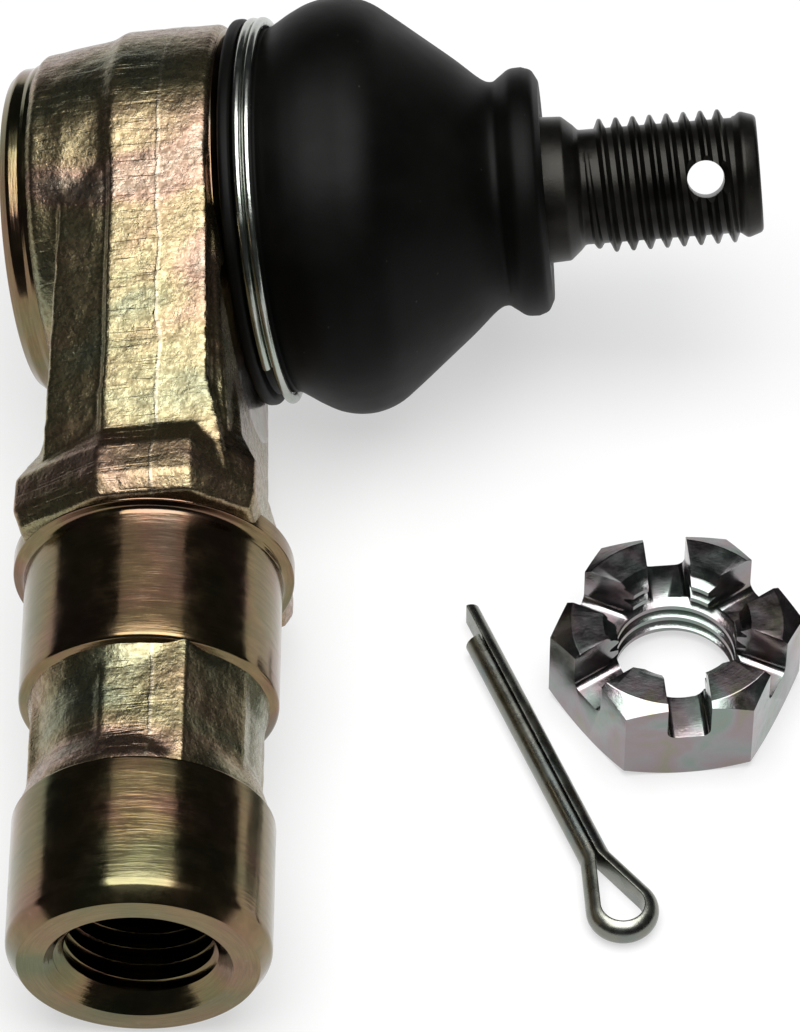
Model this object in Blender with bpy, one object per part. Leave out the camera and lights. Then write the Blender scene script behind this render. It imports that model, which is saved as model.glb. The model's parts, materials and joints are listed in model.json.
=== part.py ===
"""Tie rod end: forged eye and shank, ball stud under a dust boot, with its castle nut and cotter pin."""

from math import acos, asin, atan2, cos, pi, radians, sin, sqrt, tan

import bmesh
import bpy
from mathutils import Matrix, Vector

MM = 0.001
GAP = 0.3  # clearance between neighbouring pieces, mm

# Directions on the table: azimuth from +X and elevation, degrees
EYE_AIM = (-1.6, 9.0)  # axis of the eye, towards the stud
STUD_AIM = (1.56, 5.0)  # axis of the drooped stud
SHANK_AIM = (-90.6, -4.6)  # axis of the shank, towards its open end
BALL_CENTRE = (-20.60, 20.07, 17.08)
TABLE_SHIFT = (0.35, 9.39, 0.0)  # puts the origin under the middle of the whole kit

# Ball joint
BALL_R = 10.0
NECK_R = 4.9
TAPER_START, TAPER_START_R = 16.0, 7.4
TAPER_END, TAPER_END_R = 35.4, 6.45
STUD_THREAD = (37.4, 52.0)
STUD_LENGTH = 52.7
STUD_THREAD_D = 12.0
THREAD_PITCH = 1.5
CROSS_HOLE_D, CROSS_HOLE_AT, CROSS_HOLE_TURN = 3.3, 47.9, 50.0

# Eye, measured from the ball centre along its axis
EYE_R = 16.9  # at the die's parting step; the forged skin tapers from it both ways
EYE_BORE_R = 12.9
COVER_SEAT_R = 13.5
RIM_R = 14.5
RIM_BACK, SPIGOT_FRONT = -12.4, 10.3

# Shank, measured from its open end
SHANK_LENGTH = 77.3
BAND_R, WAIST_R = 11.0, 9.6
SHANK_THREAD_D, SHANK_BORE_DEPTH = 14.0, 27.0
FACET_HALF, FACET_SHIFT = 4.2, 1.2  # the top facet's half width and offset from the shank's axis

# Castle nut and cotter pin
NUT_AT, NUT_TURN = (23.84, -19.2), 5.2
NUT_AF, NUT_H = 19.0, 9.0
NUT_SLOT_W, NUT_SLOT_DEPTH = 3.9, 4.05
PIN_D, PIN_LEG, PIN_SHORTER = 2.5, 29.4, 3.4
PIN_AT, PIN_TURN = (18.75, -44.3), 112.1
PIN_EYE_R, PIN_NECK, PIN_SPLIT = 1.85, 5.2, 0.08  # eye's inside, where the legs meet, half their split

scene = bpy.context.scene
for old in list(bpy.data.objects):
    bpy.data.objects.remove(old, do_unlink=True)

kit = bpy.data.collections.new("tie_rod_end")
cutters = bpy.data.collections.new("cutters")
for group in (kit, cutters):
    scene.collection.children.link(group)
cutters.hide_render = True


def aim(azimuth, elevation):
    az, el = radians(azimuth), radians(elevation)
    return Vector((cos(el) * cos(az), cos(el) * sin(az), sin(el)))


def material(name, colour, metallic, roughness):
    mat = bpy.data.materials.new(name)
    mat.use_nodes = True
    shader = mat.node_tree.nodes["Principled BSDF"]
    shader.inputs["Base Color"].default_value = (*colour, 1.0)
    shader.inputs["Metallic"].default_value = metallic
    shader.inputs["Roughness"].default_value = roughness
    return mat


def frame(name, z_axis, x_hint, at):
    """An empty whose Z runs along z_axis and whose X leans towards x_hint."""
    z = z_axis.normalized()
    y = z.cross(x_hint).normalized()
    x = y.cross(z)
    turn = Matrix((x, y, z)).transposed().to_4x4()
    empty = bpy.data.objects.new(name, None)
    empty.matrix_world = Matrix.Translation(at) @ turn
    kit.objects.link(empty)
    return empty


def add(name, bm, parent, group=cutters, mat=None, smooth=None):
    """Makes an object of a bmesh drawn in millimetres; smooth is the shading angle in degrees."""
    bmesh.ops.scale(bm, vec=(MM, MM, MM), verts=bm.verts)
    mesh = bpy.data.meshes.new(name)
    bm.to_mesh(mesh)
    bm.free()
    obj = bpy.data.objects.new(name, mesh)
    group.objects.link(obj)
    if group is cutters:
        obj.display_type = "WIRE"
    if parent:
        obj.parent = parent
    if mat:
        mesh.materials.append(mat)
    if smooth is not None:
        mesh.polygons.foreach_set("use_smooth", [True] * len(mesh.polygons))
        bm = bmesh.new()
        bm.from_mesh(mesh)
        for edge in bm.edges:
            if edge.is_boundary or edge.calc_face_angle(0.0) > radians(smooth):
                edge.smooth = False
        bm.to_mesh(mesh)
        bm.free()
    return obj


def revolve(name, profile, parent, steps=48, **kwargs):
    """Turns (radius, height) points about Z. The profile runs down the outer side, then up any bore."""
    bm = bmesh.new()
    closed = all(r > 0 for r, _ in profile)
    points = [bm.verts.new((r, 0, h)) for r, h in profile]
    for a, b in zip(points, points[1:] + points[:1] if closed else points[1:]):
        bm.edges.new((a, b))
    bmesh.ops.spin(
        bm, geom=bm.verts[:] + bm.edges[:], cent=(0, 0, 0), axis=(0, 0, 1), angle=2 * pi, steps=steps
    )
    bmesh.ops.remove_doubles(bm, verts=bm.verts, dist=1e-4)
    bmesh.ops.recalc_face_normals(bm, faces=bm.faces)
    return add(name, bm, parent, **kwargs)


def block(name, low, high, parent, turn=0.0):
    bm = bmesh.new()
    bmesh.ops.create_cube(bm, size=1.0)
    size = Vector(high) - Vector(low)
    bmesh.ops.scale(bm, vec=size, verts=bm.verts)
    bmesh.ops.translate(bm, vec=(Vector(high) + Vector(low)) / 2, verts=bm.verts)
    bmesh.ops.rotate(bm, verts=bm.verts, matrix=Matrix.Rotation(radians(turn), 3, "Z"))
    return add(name, bm, parent)


def hull(name, points, parent):
    bm = bmesh.new()
    for point in points:
        bm.verts.new(point)
    made = bmesh.ops.convex_hull(bm, input=bm.verts)
    bmesh.ops.delete(bm, geom=[v for v in made["geom_interior"] if v.is_valid], context="VERTS")
    bmesh.ops.recalc_face_normals(bm, faces=bm.faces)
    return add(name, bm, parent)


def thread_ridge(name, root_r, crest_r, z_low, z_high, parent, steps=32, crest=0.14, root=0.62):
    """A closed helical ridge of trapezoid section. root and crest are half widths, as shares of the pitch."""
    bm = bmesh.new()
    turns = (z_high - z_low) / THREAD_PITCH
    count = int(round(turns * steps))
    section = [
        (root_r, -root * THREAD_PITCH / 2),
        (crest_r, -crest * THREAD_PITCH / 2),
        (crest_r, crest * THREAD_PITCH / 2),
        (root_r, root * THREAD_PITCH / 2),
    ]
    rings = []
    for i in range(count + 1):
        angle = 2 * pi * i / steps + 0.137
        rise = z_low + THREAD_PITCH * i / steps
        rings.append([bm.verts.new((r * cos(angle), r * sin(angle), rise + z)) for r, z in section])
    for low, high in zip(rings, rings[1:]):
        for j in range(4):
            k = (j + 1) % 4
            bm.faces.new((low[j], low[k], high[k], high[j]))
    bm.faces.new(rings[0])
    bm.faces.new(rings[-1])
    bmesh.ops.recalc_face_normals(bm, faces=bm.faces)
    return add(name, bm, parent)


def boolean(target, operation, other):
    mod = target.modifiers.new(other.name, "BOOLEAN")
    mod.operation, mod.solver, mod.object = operation, "EXACT", other


def weld(target):
    """Closes the hairline seams that a long chain of Booleans leaves."""
    target.modifiers.new("weld", "WELD").merge_threshold = 0.002 * MM


def sphere_arc(radius, low, high, count):
    """(r, h) points on a sphere about the ball centre, from height low to height high."""
    first, last = asin(low / radius), asin(high / radius)
    angles = [first + (last - first) * i / count for i in range(count + 1)]
    return [(radius * cos(t), radius * sin(t)) for t in angles]


yellow = material("yellow_chromate", (0.42, 0.36, 0.17), 1.0, 0.35)
black_steel = material("black_oxide", (0.02, 0.02, 0.02), 0.6, 0.4)
rubber = material("black_rubber", (0.012, 0.012, 0.013), 0.0, 0.5)
zinc = material("bright_zinc", (0.62, 0.63, 0.62), 1.0, 0.22)
wire_zinc = material("wire_zinc", (0.70, 0.74, 0.70), 1.0, 0.2)
pin_zinc = material("pin_zinc", (0.45, 0.48, 0.42), 1.0, 0.3)
polymer = material("acetal", (0.75, 0.74, 0.68), 0.0, 0.4)
polymer_rear = material("acetal_rear", (0.68, 0.68, 0.64), 0.0, 0.4)
spring_steel = material("spring_steel", (0.35, 0.36, 0.38), 1.0, 0.35)
cover_zinc = material("cover_zinc", (0.46, 0.40, 0.20), 1.0, 0.35)
ring_steel = material("ring_steel", (0.30, 0.30, 0.31), 1.0, 0.4)

centre = (Vector(BALL_CENTRE) + Vector(TABLE_SHIFT)) * MM
eye_axis, stud_axis, shank_axis = aim(*EYE_AIM), aim(*STUD_AIM), aim(*SHANK_AIM)
eye_frame = frame("eye_frame", eye_axis, -shank_axis, centre)
stud_frame = frame("stud_frame", stud_axis, -shank_axis, centre)
shank_frame = frame("shank_frame", shank_axis, eye_axis, centre)


# ---- housing ----
def from_end(distance):
    return SHANK_LENGTH - distance


eye = revolve(
    "housing",
    [
        (0, SPIGOT_FRONT),
        (15.2, SPIGOT_FRONT),
        (15.2, 7.4),
        (16.0, 7.4),
        (16.4, 6.7),
        (EYE_R, 1.0),
        (EYE_R, -2.1),
        (16.35, -2.9),
        (15.9, -7.8),
        (15.7, -9.0),
        (14.9, -9.9),
        (RIM_R, -10.3),
        (RIM_R, RIM_BACK + 0.8),
        (13.8, RIM_BACK),
        (0, RIM_BACK),
    ],
    eye_frame,
    steps=60,
    group=kit,
    mat=yellow,
    smooth=30,
)


def section(z, top, corner_x, corner_y, facet=FACET_HALF):
    """Points of a forged eight-sided section at height z of the shank frame, the same after half a turn."""
    half = [(FACET_SHIFT + facet, top), (FACET_SHIFT - facet, top)]
    half += [(-corner_x, corner_y), (-corner_x, -corner_y)]
    return [(sign * x, sign * y, z) for x, y in half for sign in (1, -1)]


def eye_ring(radius, low, high, steps=36):
    """Points of two circles about the eye's axis at heights low and high, in the shank frame."""
    turn = shank_frame.matrix_world.to_3x3().inverted() @ eye_frame.matrix_world.to_3x3()
    return [
        turn @ Vector((radius * cos(2 * pi * i / steps), radius * sin(2 * pi * i / steps), h))
        for i in range(steps)
        for h in (low, high)
    ]


rib_foot = [(x * side, 11.3 * side, from_end(41.5)) for x in (6.8, -2.5) for side in (1, -1)]
neck = hull("neck", eye_ring(EYE_R, -2.1, 4.6) + rib_foot, shank_frame)
neck_sides = hull(
    "neck_sides",
    eye_ring(13.4, -7.2, 5.6) + eye_ring(EYE_R - 0.7, -2.9, 2.0) + section(from_end(40.9), 10.6, 8.3, 6.9, 4.1),
    shank_frame,
)
flare = hull(
    "flare",
    section(from_end(53.6), 11.4, 8.0, 6.8, 3.7) + section(from_end(40.2), 12.1, 9.6, 8.7, 4.1),
    shank_frame,
)
collar = hull(
    "collar",
    section(from_end(45.6), 12.2, 9.3, 8.1)
    + section(from_end(43.4), 13.3, 10.4, 9.3)
    + section(from_end(39.4), 13.4, 10.4, 9.4)
    + section(from_end(38.6), 12.8, 10.1, 9.0),
    shank_frame,
)
upper_band = revolve(
    "upper_band",
    [
        (0, from_end(40.1)),
        (BAND_R - 0.5, from_end(40.1)),
        (BAND_R - 0.5, from_end(38.4)),
        (BAND_R, from_end(38.0)),
        (BAND_R, from_end(26.1)),
        (BAND_R - 0.5, from_end(25.2)),
        (0, from_end(25.2)),
    ],
    shank_frame,
    steps=44,
)
waist = hull(
    "waist",
    section(from_end(26.6), 9.9, 9.2, 4.4, 3.6) + section(from_end(12.9), 9.9, 9.2, 4.4, 3.6),
    shank_frame,
)
waist_root = revolve(
    "waist_root",
    [
        (0, from_end(30.0)),
        (BAND_R - 0.25, from_end(30.0)),
        (BAND_R - 0.25, from_end(26.6)),
        (WAIST_R, from_end(22.6)),
        (WAIST_R, from_end(17.3)),
        (BAND_R - 0.25, from_end(14.0)),
        (BAND_R - 0.25, from_end(8.0)),
        (0, from_end(8.0)),
    ],
    shank_frame,
    steps=44,
)
lower_band = revolve(
    "lower_band",
    [
        (0, from_end(13.9)),
        (BAND_R - 0.5, from_end(13.9)),
        (BAND_R, from_end(13.3)),
        (BAND_R, from_end(2.0)),
        (BAND_R - 0.86, from_end(0.0)),
        (0, from_end(0.0)),
    ],
    shank_frame,
    steps=44,
)
ball_room = revolve(
    "ball_room",
    [
        (0, 12.0),
        (11.9, 12.0),
        (9.1, 7.4),
        (9.1, 6.9),
        (EYE_BORE_R, 3.0),
        (EYE_BORE_R, -10.2),
        (COVER_SEAT_R, -10.2),
        (COVER_SEAT_R, RIM_BACK + 0.9),
        (12.2, RIM_BACK + 0.8),
        (12.3, RIM_BACK - 1.0),
        (0, RIM_BACK - 1.0),
    ],
    eye_frame,
    steps=52,
)
boot_room = revolve(
    "boot_room",
    [(13.3, 15.0), (21.0, 15.0), (21.0, 8.6), (20.0, 7.3), (13.8, 7.3), (13.8, 9.9), (13.3, 10.4)],
    eye_frame,
    steps=44,
)
minor_r = SHANK_THREAD_D / 2 - 0.54 * THREAD_PITCH
tap_drill = revolve(
    "tap_drill",
    [
        (0, from_end(SHANK_BORE_DEPTH + 3.2)),
        (minor_r, from_end(SHANK_BORE_DEPTH)),
        (minor_r, from_end(1.6)),
        (minor_r + 2.6, from_end(-1.0)),
        (0, from_end(-1.0)),
    ],
    shank_frame,
    steps=36,
)
tap_groove = thread_ridge(
    "tap_groove", minor_r - 0.25, SHANK_THREAD_D / 2, from_end(22.0), from_end(-1.6), shank_frame, steps=16
)
for piece in (neck, neck_sides, flare, collar, upper_band, waist_root, waist, lower_band):
    boolean(eye, "UNION", piece)
for cutter in (ball_room, boot_room, tap_drill, tap_groove):
    boolean(eye, "DIFFERENCE", cutter)
weld(eye)

# ---- pieces inside the eye ----
front_seat = revolve(
    "front_seat",
    [(9.45, 6.25), (12.6, 2.85), (12.6, 0.5)] + sphere_arc(BALL_R + GAP, 0.5, 6.25, 5),
    eye_frame,
    steps=36,
    group=kit,
    mat=polymer,
    smooth=30,
)
rear_seat = revolve(
    "rear_seat",
    [(12.6, -0.5), (12.6, -8.0), (12.2, -8.4), (8.0, -8.4)] + sphere_arc(BALL_R + GAP, -6.5, -0.5, 5),
    eye_frame,
    steps=36,
    group=kit,
    mat=polymer_rear,
    smooth=30,
)
preload_spring = revolve(
    "preload_spring",
    [(8.6, -8.7), (9.2, -8.7), (12.4, -9.5), (12.4, -10.2), (11.8, -10.2), (8.6, -9.4)],
    eye_frame,
    steps=36,
    group=kit,
    mat=spring_steel,
    smooth=30,
)
end_cover = revolve(
    "end_cover",
    [
        (0, -10.7),
        (6.0, -10.7),
        (7.5, -10.5),
        (13.2, -10.5),
        (13.2, -11.5),
        (8.6, -11.5),
        (6.6, -11.9),
        (0, -12.0),
    ],
    eye_frame,
    steps=36,
    group=kit,
    mat=cover_zinc,
    smooth=30,
)

# ---- ball stud ----
shaft = revolve(
    "ball_stud",
    [
        (0, STUD_LENGTH + 1.0),
        (STUD_THREAD_D / 2 - 0.9, STUD_LENGTH + 1.0),
        (STUD_THREAD_D / 2 - 0.9, TAPER_END + 1.7),
        (5.5, TAPER_END + 1.0),
        (TAPER_END_R, TAPER_END),
        (TAPER_START_R, TAPER_START),
        (TAPER_START_R - 0.4, TAPER_START - 0.9),
        (5.4, 12.9),
        (NECK_R, 11.9),
        (NECK_R, 9.6),
    ]
    + sphere_arc(BALL_R, -9.8, 8.9, 14)[::-1]
    + [(0, -9.8)],
    stud_frame,
    steps=36,
    group=kit,
    mat=black_steel,
    smooth=30,
)
stud_ridge = thread_ridge(
    "stud_ridge",
    STUD_THREAD_D / 2 - 1.15,
    STUD_THREAD_D / 2 - 0.06,
    STUD_THREAD[0] - 0.4,
    STUD_THREAD[1] + 0.6,
    stud_frame,
    steps=18,
)
stud_envelope = revolve(
    "stud_envelope",
    [
        (0, STUD_LENGTH),
        (4.4, STUD_LENGTH),
        (5.05, STUD_LENGTH - 0.45),
        (6.2, STUD_LENGTH - 1.6),
        (12.0, STUD_LENGTH - 4.0),
        (12.0, -12.0),
        (0, -12.0),
    ],
    stud_frame,
)
cross_hole = revolve(
    "cross_hole",
    [
        (0, 9.0),
        (4.5, 9.0),
        (CROSS_HOLE_D / 2, 5.4),
        (CROSS_HOLE_D / 2, -5.4),
        (4.5, -9.0),
        (0, -9.0),
    ],
    stud_frame,
    steps=32,
)
cross_hole.location = (0, 0, CROSS_HOLE_AT * MM)
cross_hole.rotation_euler = (0, radians(90), radians(180 - CROSS_HOLE_TURN))
boolean(shaft, "UNION", stud_ridge)
boolean(shaft, "INTERSECT", stud_envelope)
boolean(shaft, "DIFFERENCE", cross_hole)
weld(shaft)

# ---- dust boot: fixed on the eye's spigot at one lip, on the stud at the other ----
BOOT_LOW, BOOT_HIGH = 10.7, 16.0  # heights between which the boot leans over from eye to stud
boot = revolve(
    "dust_boot",
    [
        (6.75, 33.7),
        (9.6, 33.7),
        (10.7, 33.1),
        (11.1, 32.2),
        (10.9, 31.0),
        (10.2, 30.2),
        (9.9, 29.5),
        (10.3, 28.7),
        (12.2, 26.6),
        (14.4, 23.8),
        (16.5, 21.2),
        (17.8, 19.4),
        (18.45, 17.6),
        (18.55, 15.9),
        (18.2, 14.2),
        (17.5, 12.8),
        (16.8, 11.7),
        (16.35, 11.0),
        (16.15, 10.6),
        (16.15, 8.75),
        (17.1, 8.5),
        (17.1, 7.55),
        (14.1, 7.55),
        (14.1, 10.9),
        (15.3, 12.2),
        (16.5, 14.8),
        (16.3, 18.0),
        (14.8, 21.0),
        (10.7, 26.2),
        (8.7, 28.4),
        (6.85, 29.2),
        (6.85, 30.4),
        (8.6, 30.4),
        (8.6, 32.4),
        (6.75, 32.4),
    ],
    eye_frame,
    steps=40,
    group=kit,
    mat=rubber,
    smooth=40,
)
droop = eye_axis.rotation_difference(stud_axis)
to_stud = eye_frame.matrix_world.to_3x3().inverted() @ droop.to_matrix() @ eye_frame.matrix_world.to_3x3()
lean_axis, lean_angle = to_stud.to_quaternion().to_axis_angle()
for vert in boot.data.vertices:
    share = min(max((vert.co.z / MM - BOOT_LOW) / (BOOT_HIGH - BOOT_LOW), 0.0), 1.0)
    share = share * share * (3 - 2 * share)
    vert.co = Matrix.Rotation(lean_angle * share, 3, lean_axis) @ vert.co

boot_clamp_ring = revolve(
    "boot_clamp_ring",
    [
        (16.75 + 0.43 * cos(pi * i / 4), 9.25 + half + 0.43 * sin(pi * i / 4))
        for half, span in ((0.86, range(-1, 6)), (0.0, range(3, 10)))
        for i in span
    ],
    eye_frame,
    steps=40,
    group=kit,
    mat=wire_zinc,
    smooth=60,
)
boot_lip_ring = revolve(
    "boot_lip_ring",
    [(6.95, 32.1), (8.3, 32.1), (8.3, 30.7), (6.95, 30.7)],
    stud_frame,
    steps=36,
    group=kit,
    mat=ring_steel,
    smooth=30,
)

# ---- castle nut, lying on its face ----
nut_frame = bpy.data.objects.new("nut_frame", None)
nut_frame.location = (Vector((*NUT_AT, 0.0)) + Vector(TABLE_SHIFT)) * MM
nut_frame.rotation_euler = (0, 0, radians(NUT_TURN))
kit.objects.link(nut_frame)
bm = bmesh.new()
bmesh.ops.create_cone(
    bm,
    cap_ends=True,
    segments=6,
    radius1=NUT_AF / sqrt(3),
    radius2=NUT_AF / sqrt(3),
    depth=NUT_H,
    matrix=Matrix.Translation((0, 0, NUT_H / 2)) @ Matrix.Rotation(radians(30), 4, "Z"),
)
castle_nut = add("castle_nut", bm, nut_frame, group=kit, mat=zinc)
nut_corner = NUT_AF / sqrt(3) + 2.0
nut_top_r, nut_foot_r = 9.15, 9.9
nut_envelope = revolve(
    "nut_envelope",
    [
        (0, NUT_H),
        (nut_top_r, NUT_H),
        (nut_corner, NUT_H - (nut_corner - nut_top_r) * tan(radians(30))),
        (nut_corner, (nut_corner - nut_foot_r) * tan(radians(30))),
        (nut_foot_r, 0),
        (0, 0),
    ],
    nut_frame,
    steps=44,
)
nut_minor = STUD_THREAD_D / 2 - 0.54 * THREAD_PITCH
nut_bore = revolve(
    "nut_bore",
    [
        (0, NUT_H + 1.0),
        (7.4, NUT_H + 1.0),
        (nut_minor, NUT_H - 1.2),
        (nut_minor, 1.2),
        (7.4, -1.0),
        (0, -1.0),
    ],
    nut_frame,
    steps=36,
)
nut_groove = thread_ridge(
    "nut_groove", nut_minor - 0.25, STUD_THREAD_D / 2 + 0.05, -1.2, NUT_H + 1.2, nut_frame, steps=24
)
nut_envelope.rotation_euler = (0, 0, radians(1.7))
boolean(castle_nut, "INTERSECT", nut_envelope)
for i in range(3):
    slot = block(
        f"nut_slot_{i + 1}",
        (-14.0, -NUT_SLOT_W / 2, NUT_H - NUT_SLOT_DEPTH),
        (14.0, NUT_SLOT_W / 2, NUT_H + 1.0),
        nut_frame,
        turn=30 + 60 * i,
    )
    boolean(castle_nut, "DIFFERENCE", slot)
boolean(castle_nut, "DIFFERENCE", nut_bore)
boolean(castle_nut, "DIFFERENCE", nut_groove)
weld(castle_nut)

# ---- cotter pin: one half-round wire folded round its eye ----
pin_frame = bpy.data.objects.new("pin_frame", None)
pin_frame.location = (Vector((*PIN_AT, PIN_D / 2)) + Vector(TABLE_SHIFT)) * MM
pin_frame.rotation_euler = (0, 0, radians(PIN_TURN))
kit.objects.link(pin_frame)


def pin_path(count=24):
    """(x, y, heading) of the wire's inner face, from the short leg's tip round to the long leg's."""
    tangent = acos(PIN_EYE_R / sqrt(PIN_NECK**2 + PIN_SPLIT**2)) + atan2(PIN_SPLIT, PIN_NECK)
    points = [
        (PIN_NECK + PIN_LEG - PIN_SHORTER, PIN_SPLIT, pi),
        (PIN_NECK + 1.5, PIN_SPLIT, pi),
        (PIN_NECK + 0.3, PIN_SPLIT + 0.02, pi - 0.12),
    ]
    for i in range(count + 1):
        t = tangent + (2 * pi - 2 * tangent) * i / count
        points.append((PIN_EYE_R * cos(t), PIN_EYE_R * sin(t), t + pi / 2))
    points.append((PIN_NECK + 0.3, -PIN_SPLIT - 0.02, 0.12))
    points.append((PIN_NECK + 1.5, -PIN_SPLIT, 0.0))
    points.append((PIN_NECK + PIN_LEG, -PIN_SPLIT, 0.0))
    return points


bm = bmesh.new()
rings = []
half_round = [(PIN_D / 2 * cos(radians(t)), PIN_D / 2 * sin(radians(t))) for t in range(-90, 91, 18)]
for x, y, heading in pin_path():
    outward = Vector((sin(heading), -cos(heading), 0))
    rings.append([bm.verts.new(Vector((x, y, z)) + outward * w) for w, z in half_round])
for low, high in zip(rings, rings[1:]):
    for j in range(len(half_round)):
        k = (j + 1) % len(half_round)
        bm.faces.new((low[j], low[k], high[k], high[j]))
bm.faces.new(rings[0])
bm.faces.new(rings[-1])
bmesh.ops.recalc_face_normals(bm, faces=bm.faces)
cotter_pin = add("cotter_pin", bm, pin_frame, group=kit, mat=pin_zinc, smooth=40)
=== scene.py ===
"""Looks of a tie rod end: forged and turned steel, ball stud, dust boot, castle nut and cotter pin."""

import json
from math import acos, atan2, cos, exp, pi, radians, sin, sqrt, tan

import bmesh
import bpy
from mathutils import Matrix, Vector, noise

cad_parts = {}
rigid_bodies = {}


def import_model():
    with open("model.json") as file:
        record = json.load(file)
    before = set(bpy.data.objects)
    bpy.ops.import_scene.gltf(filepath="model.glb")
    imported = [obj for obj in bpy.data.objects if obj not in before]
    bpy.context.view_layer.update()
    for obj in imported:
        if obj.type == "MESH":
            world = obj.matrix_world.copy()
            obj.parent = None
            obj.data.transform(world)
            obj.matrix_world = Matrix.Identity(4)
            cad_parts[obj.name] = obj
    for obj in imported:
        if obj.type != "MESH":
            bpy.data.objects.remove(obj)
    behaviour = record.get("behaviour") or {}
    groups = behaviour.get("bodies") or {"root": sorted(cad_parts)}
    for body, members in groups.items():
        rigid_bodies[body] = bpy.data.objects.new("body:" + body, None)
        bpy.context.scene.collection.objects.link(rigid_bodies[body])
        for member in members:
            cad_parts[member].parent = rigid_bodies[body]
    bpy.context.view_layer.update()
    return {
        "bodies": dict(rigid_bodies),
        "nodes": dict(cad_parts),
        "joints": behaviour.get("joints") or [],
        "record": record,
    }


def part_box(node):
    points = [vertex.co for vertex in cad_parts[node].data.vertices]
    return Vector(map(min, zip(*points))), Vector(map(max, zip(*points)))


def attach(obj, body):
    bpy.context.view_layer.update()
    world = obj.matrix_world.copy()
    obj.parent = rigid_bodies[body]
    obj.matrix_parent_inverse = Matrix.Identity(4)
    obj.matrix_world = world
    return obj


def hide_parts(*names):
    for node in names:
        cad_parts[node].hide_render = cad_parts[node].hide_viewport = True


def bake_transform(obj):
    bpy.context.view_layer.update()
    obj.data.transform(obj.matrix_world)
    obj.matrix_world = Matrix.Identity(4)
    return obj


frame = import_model()

MM = 0.001

# ---- Camera, in metres and degrees, with its lens and sensor in millimetres ----
CAMERA_DISTANCE = 0.54283
CAMERA_ELEVATION = 50.3
CAMERA_TARGET = (0.00035, 0.00939, 0.0)
CAMERA_LENS, CAMERA_SENSOR = 212.48, 36.0

# ---- The local frames: Z along each piece's own axis ----
EYE_AIM = (-1.6, 9.0)  # azimuth from +X and elevation of the eye's axis, degrees


def aim(azimuth, elevation):
    az, el = radians(azimuth), radians(elevation)
    return Vector((cos(el) * cos(az), cos(el) * sin(az), sin(el)))


def axes(z_axis, x_hint, at):
    """A frame at a point, with Z along z_axis and X leaning towards x_hint."""
    z = z_axis.normalized()
    y = z.cross(x_hint).normalized()
    turn = Matrix((y.cross(z), y, z)).transposed().to_4x4()
    return Matrix.Translation(at) @ turn


joint = {j["name"]: j for j in frame["joints"]}
mount = {m["name"]: m for m in frame["record"]["mounts"]}
centre = Vector(joint["stud_spin"]["pos_m"])
stud_axis = Vector(joint["stud_spin"]["axis"]).normalized()
shank_axis = Vector(mount["shank_end_face"]["axis"]).normalized()
eye_axis = aim(*EYE_AIM)
EYE = axes(eye_axis, -shank_axis, centre)
STUD = axes(stud_axis, -shank_axis, centre)
SHANK = axes(shank_axis, eye_axis, centre)
EYE_IN_SHANK = SHANK.to_3x3().inverted() @ EYE.to_3x3()


# ---- Mesh tools: everything is drawn in millimetres in a local frame ----
def solid(name, bm, place, materials, index=0):
    """An object of a bmesh drawn in millimetres, standing in a local frame, all in one material."""
    bmesh.ops.scale(bm, vec=(MM, MM, MM), verts=bm.verts)
    bmesh.ops.recalc_face_normals(bm, faces=bm.faces)
    mesh = bpy.data.meshes.new(name)
    bm.to_mesh(mesh)
    bm.free()
    for material in materials:
        mesh.materials.append(material)
    mesh.polygons.foreach_set("material_index", [index] * len(mesh.polygons))
    obj = bpy.data.objects.new(name, mesh)
    bpy.context.scene.collection.objects.link(obj)
    obj.matrix_world = place
    return obj


def rounded(corners, closed=False, arc=5):
    """An outline of (r, h) points from (r, h) or (r, h, radius) corners."""
    outline = []
    count = len(corners)
    for i, (r, h, *fillet) in enumerate(corners):
        corner = Vector((r, h))
        if not fillet or (not closed and i in (0, count - 1)):
            outline.append((r, h))
            continue
        to_last = Vector(corners[i - 1][:2]) - corner
        to_next = Vector(corners[(i + 1) % count][:2]) - corner
        half = to_last.angle(to_next) / 2
        reach = min(fillet[0] / tan(half), 0.48 * to_last.length, 0.48 * to_next.length)
        radius = reach * tan(half)
        bisector = (to_last.normalized() + to_next.normalized()).normalized()
        middle = corner + bisector * radius / sin(half)
        first = corner + to_last.normalized() * reach - middle
        last = corner + to_next.normalized() * reach - middle
        start = atan2(first.y, first.x)
        sweep = (atan2(last.y, last.x) - start + pi) % (2 * pi) - pi
        for k in range(arc + 1):
            t = start + sweep * k / arc
            outline.append((middle.x + radius * cos(t), middle.y + radius * sin(t)))
    return outline


def flowing(points, pieces=5):
    """A smooth outline through (r, h) points, by Catmull-Rom spans."""
    ends = [points[0], *points, points[-1]]
    outline = []
    for a, b, c, d in zip(ends, ends[1:], ends[2:], ends[3:]):
        a, b, c, d = (Vector(p) for p in (a, b, c, d))
        for k in range(pieces):
            t = k / pieces
            p = b * 2 + (c - a) * t + (a * 2 - b * 5 + c * 4 - d) * t**2 + (b * 3 - a - c * 3 + d) * t**3
            outline.append((p.x / 2, p.y / 2))
    return [*outline, tuple(points[-1])]


def divided(outline, longest=1.6, inner_r=5.0):
    """The outline with its long straight runs outside inner_r cut into equal lengths."""
    points = [outline[0]]
    for (r0, h0), (r1, h1) in zip(outline, outline[1:]):
        length = sqrt((r1 - r0) ** 2 + (h1 - h0) ** 2)
        count = max(1, int(length / longest)) if min(r0, r1) > inner_r else 1
        points += [(r0 + (r1 - r0) * k / count, h0 + (h1 - h0) * k / count) for k in range(1, count + 1)]
    return points


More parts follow.
